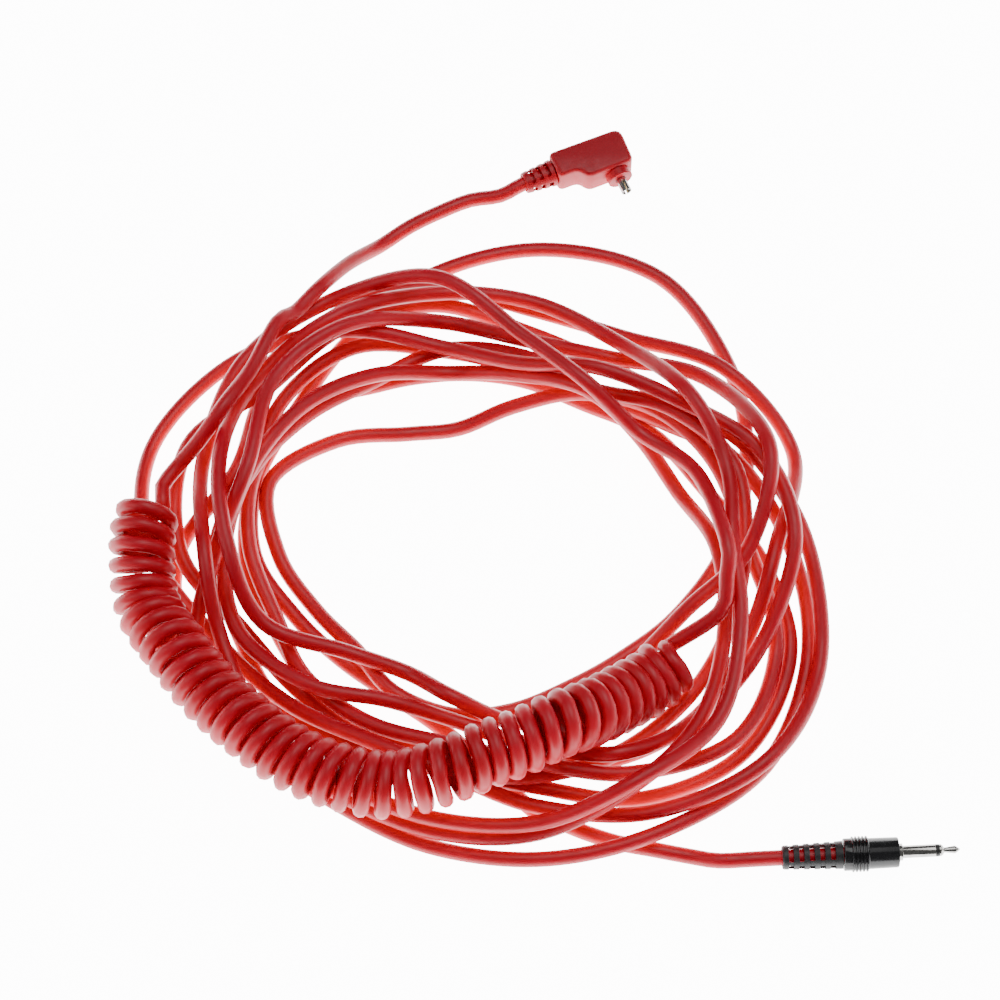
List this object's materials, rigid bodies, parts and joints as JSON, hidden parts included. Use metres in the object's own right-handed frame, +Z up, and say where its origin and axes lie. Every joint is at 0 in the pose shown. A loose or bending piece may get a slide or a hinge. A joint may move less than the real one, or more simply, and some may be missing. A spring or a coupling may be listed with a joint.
{
  "type": "flash synchronisation cord",
  "caption": "Red part-curly flash sync cord laid in loose loops, with a right-angle PC sync plug at one end and a black screw-cover jack plug at the other.",
  "frame": {"origin": "middle of the box round the two plugs, on the surface that the cord lies on", "axes": "+Z up, +Y from the jack plug towards the PC plug, +X towards the jack plug's tip"},
  "size_m": [0.2401, 0.2359, 0.0389],
  "materials": {
    "red_pvc": "satin flexible PVC",
    "white_core": "satin wire insulation",
    "red_moulding": "satin moulded PVC",
    "black_cover": "glossy",
    "black_boot": "satin flexible",
    "black_plastic": "matt",
    "pale_plastic": "satin",
    "nickel": "bright nickel plate",
    "brass": "bright"
  },
  "bodies": {
    "cord_and_plugs": {"cord_pc_lead": "red_pvc", "cord_curly": "red_pvc", "cord_loops_01": "red_pvc", "cord_loops_02": "red_pvc", "cord_loops_03": "red_pvc", "cord_loops_04": "red_pvc", "cord_loops_05": "red_pvc", "cord_loops_06": "red_pvc", "cord_loops_07": "red_pvc", "cord_jack_end": "red_pvc", "cord_pc_end": "red_pvc", "core_jack_earth": "red_pvc", "core_pc_outer": "red_pvc", "core_jack_tip": "white_core", "core_pc_centre": "white_core", "pc_strain_relief": "red_moulding", "pc_housing": "red_moulding", "pc_contact_carrier": "red_moulding", "jack_insulator": "black_plastic", "jack_rear_bush": "black_plastic", "jack_liner": "pale_plastic", "pc_insulator": "pale_plastic", "jack_sleeve": "nickel", "jack_tip": "nickel", "pc_outer_contact": "nickel", "jack_tip_lug": "brass", "jack_earth_tag": "brass", "pc_centre_pin": "brass"},
    "boot": {"jack_boot": "black_boot"},
    "cover": {"jack_cover": "black_cover"}
  },
  "joints": [
    {"name": "boot_back_off", "type": "slide", "parent": "cord_and_plugs", "child": "boot", "axis": [-0.9987, -0.0506, 0], "range_m": [0, 0.004]},
    {"name": "cover_unscrew", "type": "hinge", "parent": "boot", "child": "cover", "pos_m": [0.0114, -0.1139, 0.005], "axis": [-0.9987, -0.0506, 0], "range_deg": [0, 1445]}
  ],
  "couplings": [
    {"joint": "cover_unscrew", "follows": "boot_back_off", "rad_per_m": 6283}
  ]
}
